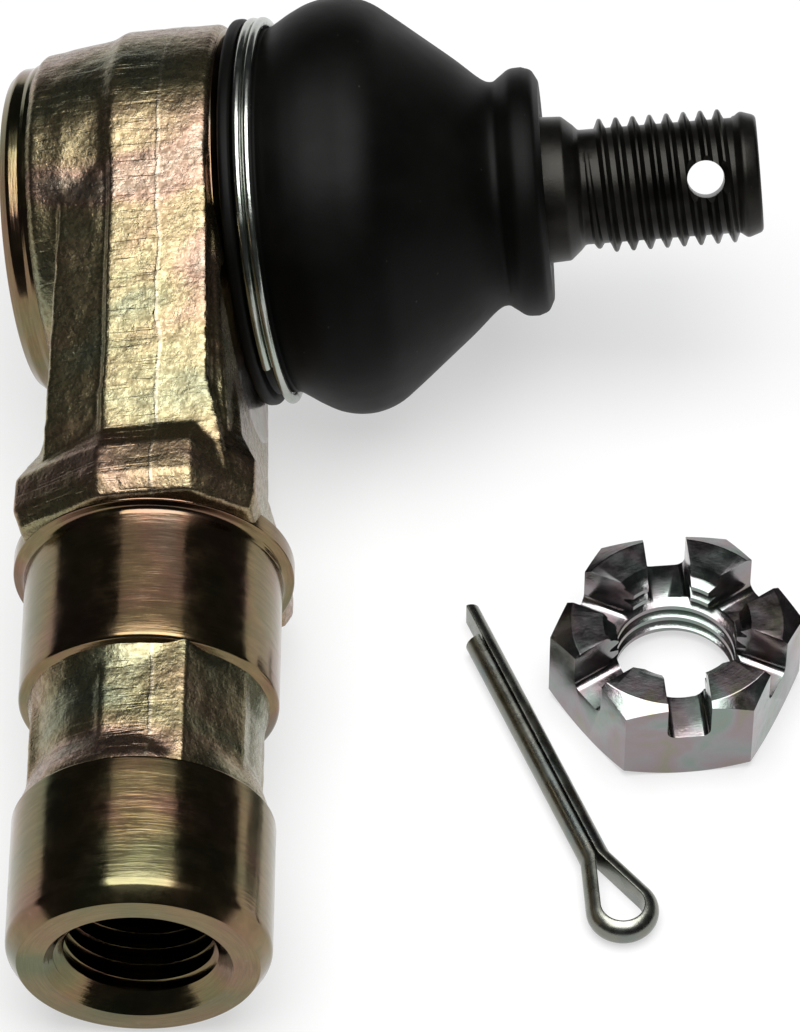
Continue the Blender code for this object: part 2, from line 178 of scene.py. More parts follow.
def turned_bmesh(outline, steps):
    bm = bmesh.new()
    closed = all(r > 0 for r, _ in outline)
    points = [bm.verts.new((r, 0, h)) for r, h in outline]
    for a, b in zip(points, points[1:] + points[:1] if closed else points[1:]):
        bm.edges.new((a, b))
    bmesh.ops.spin(
        bm, geom=bm.verts[:] + bm.edges[:], cent=(0, 0, 0), axis=(0, 0, 1), angle=2 * pi, steps=steps
    )
    bmesh.ops.remove_doubles(bm, verts=bm.verts, dist=1e-4)
    return bm


def turned(name, outline, place, materials, index=0, steps=160):
    return solid(name, turned_bmesh(outline, steps), place, materials, index)


def hull_bmesh(points):
    bm = bmesh.new()
    for point in points:
        bm.verts.new(point)
    made = bmesh.ops.convex_hull(bm, input=bm.verts)
    bmesh.ops.delete(bm, geom=[v for v in made["geom_interior"] if v.is_valid], context="VERTS")
    return bm


def swept_bmesh(rings):
    """A closed loft through rings of points, with flat ends."""
    bm = bmesh.new()
    rows = [[bm.verts.new(point) for point in ring] for ring in rings]
    for low, high in zip(rows, rows[1:]):
        for j in range(len(low)):
            k = (j + 1) % len(low)
            bm.faces.new((low[j], low[k], high[k], high[j]))
    bm.faces.new(rows[0])
    bm.faces.new(rows[-1])
    return bm


THREAD_FLANK = [(0.0, 0.86), (0.55, 0.46), (0.88, 0.26), (1.0, 0.12)]  # height, half width in half pitches
THREAD_START = 0.137  # where a thread begins, radians


def thread_bmesh(root_r, crest_r, low, high, pitch, fade=(0.0, 0.0), steps=72):
    """A closed helical ridge with a rounded crest. It sinks to its root over fade turns at either end."""
    profile = [(out, -along) for out, along in THREAD_FLANK] + THREAD_FLANK[::-1]
    turns = (high - low) / pitch
    count = int(round(turns * steps))
    rings = []
    for i in range(count + 1):
        turn = i / steps
        rise = 1.0
        for length, past in ((fade[0], turn), (fade[1], turns - turn)):
            if length:
                rise = min(rise, max(past / length, 0.02))
        angle = 2 * pi * turn + THREAD_START
        top = root_r + (crest_r - root_r) * rise
        rings.append(
            [
                (
                    (root_r + (top - root_r) * out) * cos(angle),
                    (root_r + (top - root_r) * out) * sin(angle),
                    low + pitch * (turn + along / 2),
                )
                for out, along in profile
            ]
        )
    return swept_bmesh(rings)


def eased(value, low, high):
    """0 below low, 1 above high, and a smooth step between them."""
    share = min(max((value - low) / (high - low), 0.0), 1.0)
    return share * share * (3 - 2 * share)


def evaluated(obj):
    """Replaces an object's mesh by what its modifiers make of it."""
    bpy.context.view_layer.update()
    graph = bpy.context.evaluated_depsgraph_get()
    mesh = bpy.data.meshes.new_from_object(obj.evaluated_get(graph))
    old = obj.data
    obj.modifiers.clear()
    obj.data = mesh
    bpy.data.meshes.remove(old)
    return obj


def carve(target, steps):
    """Joins solids to the target or cuts them from it, in turn, and removes them."""
    for operation, other in steps:
        mod = target.modifiers.new(other.name, "BOOLEAN")
        mod.operation, mod.solver, mod.object = operation, "MANIFOLD", other
    evaluated(target)
    for _, other in steps:
        bpy.data.objects.remove(other, do_unlink=True)
    return target


def shade(obj, angle=35):
    obj.data.shade_smooth()
    obj.data.set_sharp_from_angle(angle=radians(angle))
    return obj


def place_mesh(obj):
    """Puts the object's place into its mesh, so that the object sits at the origin, as the CAD nodes do."""
    bpy.context.view_layer.update()
    obj.data.transform(obj.matrix_world)
    obj.matrix_world = Matrix.Identity(4)


def settle(obj, body, slot, *nodes):
    """The piece rides on its body and stands for its CAD node."""
    place_mesh(obj)
    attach(obj, body)
    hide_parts(*nodes)


# ---- Materials ----
RING_RATE = 0.07  # how fast a turned surface's marks change round the axis, against along it
RADIAL_RATE = 1.37  # and how fast they change away from it


class Look:
    """A procedural material. Its textures read coordinates in metres in a local frame."""

    def __init__(self, name, metallic=1.0, frame=None):
        self.material = bpy.data.materials.new(name)
        self.material.use_nodes = True
        self.tree = self.material.node_tree
        self.shader = self.tree.nodes["Principled BSDF"]
        self.shader.inputs["Metallic"].default_value = metallic
        self.place = self.add("ShaderNodeTexCoord").outputs["Object"]
        if frame is not None:
            inverse = frame.inverted()
            mapping = self.add("ShaderNodeMapping", {"Vector": self.place})
            mapping.inputs["Rotation"].default_value = inverse.to_euler()
            mapping.inputs["Location"].default_value = inverse.to_translation()
            self.place = mapping.outputs["Vector"]
        self.normal = None

    def add(self, kind, inputs=None, **settings):
        node = self.tree.nodes.new(kind)
        for key, value in settings.items():
            setattr(node, key, value)
        for key, value in (inputs or {}).items():
            if isinstance(value, bpy.types.NodeSocket):
                self.tree.links.new(value, node.inputs[key])
            else:
                node.inputs[key].default_value = value
        return node

    def math(self, operation, a, b=0.0):
        return self.add("ShaderNodeMath", {0: a, 1: b}, operation=operation).outputs[0]

    def rings(self):
        """Coordinates that change fast along and away from the axis, and slowly round it."""
        part = self.add("ShaderNodeSeparateXYZ", {"Vector": self.place}).outputs
        squares = self.math("ADD", self.math("POWER", part[0], 2.0), self.math("POWER", part[1], 2.0))
        along = self.math("ADD", part[2], self.math("MULTIPLY", self.math("SQRT", squares), RADIAL_RATE))
        x, y = (self.math("MULTIPLY", part[i], RING_RATE) for i in (0, 1))
        return self.add("ShaderNodeCombineXYZ", {"X": x, "Y": y, "Z": along}).outputs[0]

    def noise(self, size_mm, detail=2.0, rough=0.5, stretch=(1, 1, 1), place=None, twist=0.0):
        """Noise whose features are about size_mm across; stretch lengthens them along an axis."""
        rates = tuple(1 / s for s in stretch)
        scaled = self.add("ShaderNodeVectorMath", {0: place or self.place, 1: rates}, operation="MULTIPLY")
        return self.add(
            "ShaderNodeTexNoise",
            {
                "Vector": scaled.outputs[0],
                "Scale": 1 / (size_mm * MM),
                "Detail": detail,
                "Roughness": rough,
                "Distortion": twist,
            },
        ).outputs["Fac"]

    def span(self, value, low, high, to_low=0.0, to_high=1.0, smooth=False):
        kind = "SMOOTHSTEP" if smooth else "LINEAR"
        return self.add(
            "ShaderNodeMapRange",
            {"Value": value, "From Min": low, "From Max": high, "To Min": to_low, "To Max": to_high},
            interpolation_type=kind,
        ).outputs["Result"]

    def ramp(self, value, stops):
        node = self.add("ShaderNodeValToRGB", {"Fac": value})
        while len(node.color_ramp.elements) < len(stops):
            node.color_ramp.elements.new(0.5)
        for element, (at, colour) in zip(node.color_ramp.elements, stops):
            element.position, element.color = at, (*colour, 1.0)
        return node.outputs["Color"]

    def mix(self, share, a, b, blend="MIX"):
        node = self.add("ShaderNodeMix", data_type="RGBA", blend_type=blend)
        for socket, value in ((node.inputs[0], share), (node.inputs[6], a), (node.inputs[7], b)):
            if isinstance(value, bpy.types.NodeSocket):
                self.tree.links.new(value, socket)
            else:
                socket.default_value = value if socket.type == "VALUE" else (*value, 1.0)
        return node.outputs[2]

    def bump(self, height, depth_mm):
        inputs = {"Height": height, "Distance": depth_mm * MM, "Strength": 1.0}
        if self.normal is not None:
            inputs["Normal"] = self.normal
        self.normal = self.add("ShaderNodeBump", inputs).outputs["Normal"]

    def finish(self, colour, roughness):
        for key, value in (("Base Color", colour), ("Roughness", roughness), ("Normal", self.normal)):
            if isinstance(value, bpy.types.NodeSocket):
                self.tree.links.new(value, self.shader.inputs[key])
            elif value is not None:
                self.shader.inputs[key].default_value = value if key != "Base Color" else (*value, 1.0)
        return self.material


CHROMATE = [  # the tints of a yellow chromate film
    (0.28, (0.19, 0.215, 0.15)),
    (0.42, (0.28, 0.25, 0.145)),
    (0.52, (0.32, 0.25, 0.15)),
    (0.62, (0.33, 0.225, 0.17)),
    (0.74, (0.24, 0.23, 0.18)),
]
THIN_CHROMATE = [  # the film on a turned surface
    (0.28, (0.13, 0.14, 0.075)),
    (0.42, (0.19, 0.155, 0.08)),
    (0.52, (0.22, 0.155, 0.08)),
    (0.62, (0.22, 0.125, 0.085)),
    (0.74, (0.15, 0.13, 0.10)),
]
# The forging's parting line runs beside the shank's axis and leans further out past the eye.
PARTING_LINE, PARTING_LEAN, LEAN_FROM = 2.3, 0.1, -4.0


def forged_chromate():
    look = Look("forged_chromate", frame=SHANK)
    film = look.ramp(look.noise(11, 3, 0.5, stretch=(1.6, 1.6, 1), twist=0.6), CHROMATE)
    speck = look.noise(0.5, 3, 0.7)
    colour = look.mix(look.span(speck, 0.36, 0.62), (0.62, 0.58, 0.52), (1.0, 1.0, 1.0))
    colour = look.mix(1.0, film, colour, "MULTIPLY")
    part = look.add("ShaderNodeSeparateXYZ", {"Vector": look.place}).outputs
    past_eye = look.math("MAXIMUM", look.math("SUBTRACT", LEAN_FROM * MM, part[2]), 0.0)
    lean = look.math("MULTIPLY", past_eye, PARTING_LEAN)
    aside = look.math("MULTIPLY", part[0], look.math("SIGN", part[1]))
    aside = look.math("SUBTRACT", look.math("SUBTRACT", aside, lean), PARTING_LINE * MM)
    wander = look.math("MULTIPLY", look.math("SUBTRACT", look.noise(4, 2, 0.5), 0.5), 1.1 * MM)
    off_line = look.math("ABSOLUTE", look.math("ADD", aside, wander))
    flash = look.span(off_line, 0.24 * MM, 0.04 * MM, smooth=True)
    creases = look.noise(0.55, 3, 0.6, stretch=(14, 14, 1), twist=0.3)
    creased = look.span(aside, 0.3 * MM, -0.4 * MM, 0.2, 1.0)  # mostly on one side of the parting line
    colour = look.mix(look.math("MULTIPLY", flash, 0.35), colour, (0.45, 0.40, 0.31))
    look.bump(look.noise(1.5, 2, 0.5), 0.035)
    look.bump(look.noise(0.42, 4, 0.6), 0.055)
    look.bump(look.math("MULTIPLY", look.span(creases, 0.36, 0.46, smooth=True), creased), 0.022)
    look.bump(flash, 0.015)
    return look.finish(colour, look.span(speck, 0.3, 0.7, 0.34, 0.20))


def turned_chromate(name, frame, depth=1.0):
    look = Look(name, frame=frame)
    rings = look.rings()
    film = look.ramp(look.noise(9, 2, 0.5, twist=0.4), THIN_CHROMATE)
    marks = look.noise(0.16, 2, 0.6, place=rings)
    wide = look.noise(0.7, 2, 0.5, place=rings)
    patch = look.noise(2.2, 3, 0.6)
    scuff = look.noise(0.5, 4, 0.65)
    colour = look.mix(look.span(marks, 0.35, 0.65, 0.0, 0.4), film, (0.09, 0.075, 0.04))
    colour = look.mix(look.span(scuff, 0.62, 0.72, 0.0, 0.3), colour, (0.26, 0.25, 0.22))
    look.bump(wide, 0.016 * depth)
    look.bump(marks, 0.007 * depth)
    look.bump(scuff, 0.004)
    return look.finish(colour, look.span(patch, 0.35, 0.65, 0.11, 0.20))


def black_oxide():
    look = Look("black_oxide", metallic=0.85, frame=STUD)
    marks = look.noise(0.15, 2, 0.6, place=look.rings())
    grain = look.noise(0.3, 4, 0.6)
    patch = look.noise(3.5, 3, 0.5)
    colour = look.ramp(patch, [(0.35, (0.010, 0.0095, 0.008)), (0.65, (0.021, 0.020, 0.017))])
    colour = look.mix(look.span(grain, 0.62, 0.75, 0.0, 0.5), colour, (0.05, 0.046, 0.04))
    look.bump(marks, 0.006)
    look.bump(grain, 0.010)
    return look.finish(colour, look.span(patch, 0.3, 0.7, 0.30, 0.46))


def boot_rubber():
    look = Look("boot_rubber", metallic=0.0)
    look.shader.inputs["Specular IOR Level"].default_value = 0.09
    grain = look.noise(0.22, 3, 0.6)
    cloud = look.noise(7, 3, 0.55)
    dust = look.noise(0.55, 1, 0.4)
    colour = look.ramp(cloud, [(0.35, (0.0010, 0.0010, 0.0008)), (0.70, (0.0022, 0.0021, 0.0018))])
    colour = look.mix(look.span(dust, 0.80, 0.86, 0.0, 0.5), colour, (0.05, 0.05, 0.045))
    look.bump(cloud, 0.06)
    look.bump(grain, 0.008)
    return look.finish(colour, look.span(cloud, 0.3, 0.7, 0.42, 0.54))


def zinc(name, tints, roughness, frame, marks_mm=0.0, dull=0.0):
    """Bright zinc plate with faint rainbow tints."""
    look = Look(name, frame=frame)
    film = look.ramp(look.noise(5.0, 2, 0.5, twist=0.8), tints)
    grain = look.noise(0.25, 4, 0.6)
    patch = look.noise(1.7, 3, 0.55)
    colour = look.mix(look.span(grain, 0.55, 0.75, 0.0, 0.25 + dull), film, (0.16, 0.16, 0.155))
    look.bump(patch, 0.022)
    look.bump(grain, 0.006)
    if marks_mm:
        look.bump(look.noise(0.2, 2, 0.5, place=look.rings()), marks_mm)
    return look.finish(colour, look.span(patch, 0.3, 0.7, roughness, roughness + 0.14))


def acetal(name, colour):
    look = Look(name, metallic=0.0)
    flow = look.noise(4.0, 2, 0.5)
    look.bump(look.noise(0.2, 3, 0.6), 0.006)
    shade_of = look.ramp(flow, [(0.3, tuple(0.92 * c for c in colour)), (0.7, colour)])
    return look.finish(shade_of, look.span(flow, 0.3, 0.7, 0.34, 0.46))


def plain_steel(name, colour):
    look = Look(name, frame=EYE)
    grain = look.noise(0.3, 4, 0.6)
    cast = look.noise(5.0, 2, 0.5)
    tone = look.ramp(cast, [(0.3, tuple(0.8 * c for c in colour)), (0.7, colour)])
    look.bump(grain, 0.008)
    look.bump(look.noise(0.2, 2, 0.5, place=look.rings()), 0.005)
    return look.finish(tone, look.span(grain, 0.3, 0.7, 0.28, 0.42))


FORGED = forged_chromate()
TURNED = turned_chromate("turned_chromate", SHANK)
EYE_TURNED = turned_chromate("eye_turned_chromate", EYE)
STEELS = (FORGED, TURNED, EYE_TURNED)

# ---- Housing: forged eye and shank, then the turned bands, bores and thread ----
EYE_R, EYE_BORE_R, COVER_SEAT_R = 16.9, 12.9, 13.5  # the eye is widest at the die's parting step
RIM_R, RIM_BACK, FLANGE_FRONT, SPIGOT_FRONT = 14.5, -12.4, 7.34, 10.3
SHANK_LENGTH, BAND_R, WAIST_R = 77.3, 11.0, 9.6
SHANK_THREAD_R, THREAD_PITCH, BORE_DEPTH = 7.0, 1.5, 27.0
FACET_HALF, FACET_SHIFT = 3.95, 1.5  # the top facet's half width, and its offset from the shank's axis
FORGING_VOXEL, FORGING_ROUNDS = 0.24, 7  # mesh size, and smoothing passes that round the die's corners
SKIN_WAVES = ((0.07, 0.32), (0.035, 0.9))  # depth and waves per mm of the forging's unevenness
RIDGE_HEIGHT, RIDGE_WIDTH, RIDGE_WANDER = 0.02, 0.2, 0.35  # of the parting line


def from_end(distance):
    return SHANK_LENGTH - distance


def section(z, top, corner_x, corner_y, facet=FACET_HALF):
    """Points of a forged eight-sided section at height z of the shank frame, the same after half a turn."""
    half = [(FACET_SHIFT + facet, top), (FACET_SHIFT - facet, top)]
    half += [(-corner_x, corner_y), (-corner_x, -corner_y)]
    return [(sign * x, sign * y, z) for x, y in half for sign in (1, -1)]


def eye_ring(radius, low, high, steps=96):
    """Points of two circles about the eye's axis at heights low and high, in the shank frame."""
    ring = [(radius * cos(2 * pi * i / steps), radius * sin(2 * pi * i / steps)) for i in range(steps)]
    return [EYE_IN_SHANK @ Vector((x, y, h)) for x, y in ring for h in (low, high)]


def forging():
    """The raw forging, with the die's rounded corners, its parting line and its uneven skin."""
    waist_cone = [
        (0, from_end(29.0)),
        (BAND_R - 0.4, from_end(29.0)),
        (BAND_R - 0.4, from_end(26.6)),
        (WAIST_R, from_end(22.6)),
        (WAIST_R, from_end(17.3)),
        (BAND_R - 0.4, from_end(14.0)),
        (BAND_R - 0.4, from_end(8.0)),
        (0, from_end(8.0)),
    ]
    eye_blank = [
        (0, 6.9),
        (16.45, 6.9),
        (16.75, 3.5),
        (EYE_R, 1.0),
        (EYE_R, -1.9),
        (16.35, -3.0),
        (15.9, -6.5),
        (15.6, -8.0),
        (15.45, -9.3),
        (14.7, -10.0),
        (0, -10.0),
    ]
    rib_left, rib_right, rib_flare = -2.6, 6.8, 8.4
    rib_head = eye_ring(EYE_R, -1.9, 6.4)
    rib_head += [(x * side, 11.3 * side, from_end(41.5)) for x in (rib_right, rib_left) for side in (1, -1)]
    rib_rows = [
        (12.6, 50.0, rib_right),
        (11.3, 41.5, rib_flare),
        (5.0, 50.0, rib_right),
        (5.0, 41.5, rib_flare),
    ]
    rib_root = [
        (x * side, y * side, from_end(along))
        for y, along, right in rib_rows
        for x in (rib_left, right)
        for side in (1, -1)
    ]
    neck = eye_ring(EYE_R - 0.75, -2.9, 3.5) + eye_ring(15.2, -6.3, 6.2)
    neck += section(from_end(41.2), 10.5, 8.3, 8.9)
    neck_foot = section(from_end(53.6), 11.4, 8.0, 6.8, 3.7) + section(from_end(40.2), 12.1, 9.6, 8.7, 4.1)
    flare = section(from_end(49.5), 9.5, 8.0, 6.5) + section(from_end(43.4), 12.2, 10.4, 9.3)
    collar = section(from_end(45.6), 12.2, 9.3, 8.1) + section(from_end(43.4), 13.3, 10.4, 9.3)
    collar += section(from_end(40.1), 13.4, 10.4, 9.4) + section(from_end(38.5), 12.5, 9.9, 8.8)
    waist = section(from_end(26.3), 9.75, 9.2, 4.4, 3.5) + section(from_end(12.9), 9.75, 9.2, 4.4, 3.5)
    eye = turned_bmesh(eye_blank, 128)
    eye.transform(EYE_IN_SHANK.to_4x4())
    hulls = [hull_bmesh(points) for points in (rib_head, rib_root, neck, neck_foot, flare, collar, waist)]
    blocks = [eye, *hulls, turned_bmesh(waist_cone, 96)]
    bm = bmesh.new()
    for block in blocks:
        bmesh.ops.recalc_face_normals(block, faces=block.faces)
        part = bpy.data.meshes.new("block")
        block.to_mesh(part)
        block.free()
        bm.from_mesh(part)
        bpy.data.meshes.remove(part)
    body = solid("housing_steel", bm, SHANK, STEELS)
    remesh = body.modifiers.new("skin", "REMESH")
    remesh.mode, remesh.voxel_size, remesh.adaptivity = "VOXEL", FORGING_VOXEL * MM, 0.0
    relax = body.modifiers.new("rounded", "SMOOTH")
    relax.factor, relax.iterations = 0.5, FORGING_ROUNDS
    evaluated(body)
    normals = [v.normal.copy() for v in body.data.vertices]
    for vertex, normal in zip(body.data.vertices, normals):
        spot = vertex.co / MM
        x, y, z = spot
        push = sum(depth * noise.noise(spot * rate) for depth, rate in SKIN_WAVES)
        if abs(y) > 5:  # the parting line runs along the top and bottom facets
            flash = x * (1 if y > 0 else -1) - PARTING_LINE - PARTING_LEAN * max(0.0, LEAN_FROM - z)
            flash += RIDGE_WANDER * noise.noise(Vector((0, y, z)) * 0.3)
            push += RIDGE_HEIGHT * exp(-((flash / RIDGE_WIDTH) ** 2))
        vertex.co += normal * push * MM
    for slot, steel in enumerate(STEELS):
        if slot >= len(body.data.materials):
            body.data.materials.append(steel)
    return body


def housing():
    minor_r = SHANK_THREAD_R - 0.54 * THREAD_PITCH
    upper_band = rounded(
        [
            (0, from_end(40.1)),
            (BAND_R + 1.0, from_end(40.1), 0.2),
            (BAND_R + 1.0, from_end(38.4), 0.15),
            (BAND_R, from_end(38.2), 1.0),
            (BAND_R, from_end(25.4), 0.45),
            (BAND_R - 1.3, from_end(24.9)),
            (0, from_end(24.9)),
        ]
    )
    lower_band = rounded(
        [
            (0, from_end(14.1)),
            (BAND_R - 1.3, from_end(14.1)),
            (BAND_R, from_end(13.5), 0.3),
            (BAND_R, from_end(1.5), 1.3),
            (BAND_R - 1.0, from_end(0.0), 0.15),
            (0, from_end(0.0)),
        ]
    )
    eye_turned = rounded(
        [
            (0, SPIGOT_FRONT),
            (15.2, SPIGOT_FRONT, 0.3),
            (15.2, FLANGE_FRONT, 0.1),
            (16.05, FLANGE_FRONT, 0.1),
            (16.45, 6.85, 0.1),
            (16.4, 6.3),
            (15.2, 5.4),
            (14.9, 4.0),
            (14.9, -9.4),
            (RIM_R + 0.25, -10.2, 0.3),
            (RIM_R, -10.6, 0.3),
            (RIM_R, RIM_BACK + 0.8, 0.6),
            (RIM_R - 0.7, RIM_BACK, 0.3),
            (0, RIM_BACK),
        ]
    )
    ball_room = rounded(
        [
            (0, 12.0),
            (11.9, 12.0),
            (9.1, 7.4, 0.3),
            (9.1, 6.9, 0.3),
            (EYE_BORE_R, 3.0),
            (EYE_BORE_R, -10.2),
            (COVER_SEAT_R, -10.2),
            (COVER_SEAT_R, -11.55),
            (12.0, -11.85, 0.3),
            (12.3, RIM_BACK - 0.2, 0.4),
            (13.2, RIM_BACK - 1.0),
            (0, RIM_BACK - 1.0),
        ]
    )
    boot_room = [
        (13.3, 15.0),
        (24.0, 15.0),
        (24.0, 8.6),
        (20.0, FLANGE_FRONT),
        (13.8, FLANGE_FRONT),
        (13.8, 9.9),
        (13.3, 10.4),
    ]
    tap_drill = rounded(
        [
            (0, from_end(BORE_DEPTH + 3.2)),
            (minor_r, from_end(BORE_DEPTH)),
            (minor_r, from_end(1.6), 0.2),
            (minor_r + 2.6, from_end(-1.0)),
            (0, from_end(-1.0)),
        ]
    )
    groove = thread_bmesh(
        minor_r - 0.25, SHANK_THREAD_R, from_end(22.5), from_end(-1.6), THREAD_PITCH, fade=(0.6, 0.0)
    )
    body = forging()
    carve(
        body,
        [
            ("UNION", turned("upper_band", divided(upper_band), SHANK, STEELS, 1)),
            ("UNION", turned("lower_band", divided(lower_band), SHANK, STEELS, 1)),
            ("UNION", turned("eye_turned", eye_turned, EYE, STEELS, 2)),
            ("DIFFERENCE", turned("ball_room", ball_room, EYE, STEELS, 2)),
            ("DIFFERENCE", turned("boot_room", boot_room, EYE, STEELS, 2)),
            ("DIFFERENCE", turned("tap_drill", tap_drill, SHANK, STEELS, 1)),
            ("DIFFERENCE", solid("tap_groove", groove, SHANK, STEELS, 1)),
        ],
    )
    settle(shade(body, 32), "housing", "yellow_chromate", "housing")


housing()

# ---- Pieces inside the eye, and the cover that closes it ----
BALL_R = 10.0
SEAT_GAP = 0.3


def cup(low, high, count=10):
    """The spherical seat round the ball, from height low to height high."""
    radius = BALL_R + SEAT_GAP
    heights = [low + (high - low) * i / count for i in range(count + 1)]
    return [(sqrt(radius**2 - h**2), h) for h in heights]


front_seat = turned(
    "front_seat_cup",
    [(9.45, 6.25), (12.6, 2.85), (12.6, 0.5)] + cup(0.5, 6.25),
    EYE,
    [acetal("acetal", (0.75, 0.74, 0.68))],
)
rear_seat = turned(
    "rear_seat_cup",
    rounded([(12.6, -0.5), (12.6, -8.0), (12.2, -8.4), (8.0, -8.4)]) + cup(-6.5, -0.5),
    EYE,
    [acetal("acetal_rear", (0.68, 0.68, 0.64))],
)
spring = turned(
    "disc_spring",
    rounded(
        [
            (8.6, -8.7, 0.1),
            (9.2, -8.7, 0.1),
            (12.4, -9.5, 0.1),
            (12.4, -10.2, 0.1),
            (11.8, -10.2, 0.1),
            (8.6, -9.4, 0.1),
        ],
        closed=True,
    ),
    EYE,
    [plain_steel("spring_steel", (0.35, 0.36, 0.38))],
)
cover = turned(
    "cover_plate",
    rounded(
        [
            (0, -10.7),
            (6.0, -10.7, 0.6),
            (7.5, -10.5, 0.6),
            (13.2, -10.5, 0.1),
            (13.2, -11.5, 0.15),
            (8.6, -11.5, 0.8),
            (6.6, -11.9, 0.8),
            (0, -12.0),
        ]
    ),
    EYE,
    [turned_chromate("cover_chromate", EYE, depth=0.7)],
)
for piece, node, slot in (
    (front_seat, "front_seat", "acetal"),
    (rear_seat, "rear_seat", "acetal_rear"),
    (spring, "preload_spring", "spring_steel"),
    (cover, "end_cover", "cover_zinc"),
):
    settle(shade(piece), "housing", slot, node)

# ---- Ball stud ----
STUD_LENGTH, STUD_THREAD_R = 52.7, 5.94
STUD_THREAD = (37.2, 51.1)
CROSS_HOLE_R, CROSS_HOLE_AT, CROSS_HOLE_TURN = 1.65, 47.9, 50.0
BALL_FROM, BALL_TO, BALL_STEPS = 29, 169, 40  # the ball's outline from its neck to its flat, degrees


def ball_stud():
    steel = [black_oxide()]
    angles = [radians(BALL_FROM + (BALL_TO - BALL_FROM) * i / BALL_STEPS) for i in range(BALL_STEPS + 1)]
    ball = [(BALL_R * sin(t), BALL_R * cos(t)) for t in angles]
    outline = rounded(
        [
            (0, STUD_LENGTH),
            (5.15, STUD_LENGTH, 0.5),
            (5.62, STUD_LENGTH - 1.4, 0.5),
            (5.1, STUD_LENGTH - 2.1, 0.3),
            (5.1, 36.9, 0.4),
            (5.55, 36.5, 0.4),
            (6.4, 35.5, 0.5),
            (7.4, 16.0, 0.3),
            (7.0, 15.1, 0.3),
            (5.4, 12.9, 1.0),
            (4.9, 11.9, 1.0),
            (4.9, 9.6, 0.6),
        ]
    )
    core = turned("stud_steel", [*outline, *ball, (0, ball[-1][1])], STUD, steel)
    ridge = thread_bmesh(4.85, STUD_THREAD_R, *STUD_THREAD, THREAD_PITCH, fade=(0.9, 0.5))
    flare = 3.0  # how far out the hole's countersink runs
    hole_outline = [
        (0, 6.0 + flare),
        (CROSS_HOLE_R + flare + 0.9, 6.0 + flare),
        (CROSS_HOLE_R, 5.1),
        (CROSS_HOLE_R, -5.1),
        (CROSS_HOLE_R + flare + 0.9, -6.0 - flare),
        (0, -6.0 - flare),
    ]
    tilt = Matrix.Rotation(radians(180 - CROSS_HOLE_TURN), 4, "Z") @ Matrix.Rotation(radians(90), 4, "Y")
    hole_place = STUD @ Matrix.Translation((0, 0, CROSS_HOLE_AT * MM)) @ tilt
    carve(
        core,
        [
            ("UNION", solid("stud_ridge", ridge, STUD, steel)),
            ("DIFFERENCE", turned("cross_hole", hole_outline, hole_place, steel, steps=96)),
        ],
    )
    settle(shade(core), "stud", "black_oxide", "ball_stud")


ball_stud()

# ---- Dust boot, its wire ring and the ring inside its small lip ----
BOOT_LOW, BOOT_HIGH = 10.7, 16.0  # heights between which the boot leans over from eye to stud


def dust_boot():
    outer = flowing(
        [
            (11.05, 32.2),
            (10.95, 31.2),
            (10.35, 30.3),
            (9.95, 29.6),
            (10.35, 28.6),
            (12.2, 26.5),
            (14.4, 23.8),
            (16.5, 21.2),
            (17.8, 19.4),
            (18.45, 17.6),
            (18.55, 15.9),
            (18.2, 14.2),
            (17.5, 12.8),
            (16.85, 11.8),
            (16.4, 11.1),
            (16.2, 10.7),
        ]
    )
    lower_lip = rounded(
        [
            (16.2, 10.6),
            (16.2, 8.75, 0.15),
            (17.2, 8.6, 0.4),
            (17.2, 7.5, 0.45),
            (14.1, 7.5, 0.2),
            (14.1, 10.8),
        ]
    )
    inner = flowing(
        [
            (14.1, 10.9),
            (15.2, 12.2),
            (16.2, 13.8),
            (16.6, 15.6),
            (16.3, 18.0),
            (14.8, 21.0),
            (10.7, 26.2),
            (8.7, 28.4),
        ]
    )
    upper_lip = rounded(
        [
            (8.6, 28.5),
            (6.85, 29.2, 0.2),
            (6.85, 30.4, 0.1),
            (8.6, 30.4, 0.1),
            (8.6, 32.4, 0.1),
            (6.75, 32.4, 0.1),
            (6.75, 33.7, 0.25),
            (8.4, 33.55, 0.3),
            (9.7, 33.75, 0.5),
            (10.75, 33.2, 0.8),
            (11.05, 32.3),
        ]
    )
    boot = turned("boot_rubber", [*outer, *lower_lip, *inner, *upper_lip], EYE, [boot_rubber()], steps=144)
    lean = eye_axis.rotation_difference(stud_axis).to_matrix()
    lean = (EYE.to_3x3().inverted() @ lean @ EYE.to_3x3()).to_quaternion()
    axis, angle = lean.to_axis_angle()
    for vertex in boot.data.vertices:
        share = eased(vertex.co.z / MM, BOOT_LOW, BOOT_HIGH)
        vertex.co = Matrix.Rotation(angle * share, 3, axis) @ vertex.co
    shade(boot, 50)
    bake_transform(boot)
    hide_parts("dust_boot")


WIRE_R, WIRE_TURNS, WIRE_CROSSING = 0.43, 1.72, 0.72  # it starts to cross after WIRE_CROSSING of a turn
WIRE_RING_R, WIRE_RING_LOW, WIRE_START = 16.78, 9.22, 182.0  # WIRE_START in degrees


def clamp_wire():
    """Nearly two turns of wire side by side, cut square. The first crosses over to start the second."""
    count = 300
    rings = []
    for i in range(count + 1):
        turn = WIRE_TURNS * i / count
        t = radians(WIRE_START) - 2 * pi * turn
        across = eased(turn, WIRE_CROSSING, 1.0)
        out = Vector((cos(t), sin(t), 0))
        heart = out * WIRE_RING_R + Vector((0, 0, WIRE_RING_LOW + 2 * WIRE_R * across))
        ring = [(cos(2 * pi * k / 16), sin(2 * pi * k / 16)) for k in range(16)]
        rings.append([heart + out * WIRE_R * a + Vector((0, 0, WIRE_R * b)) for a, b in ring])
    tints = [(0.35, (0.36, 0.40, 0.35)), (0.6, (0.43, 0.44, 0.41))]
    wire = solid("clamp_wire", swept_bmesh(rings), EYE, [zinc("wire_zinc", tints, 0.14, EYE)])
    settle(shade(wire, 60), "housing", "wire_zinc", "boot_clamp_ring")


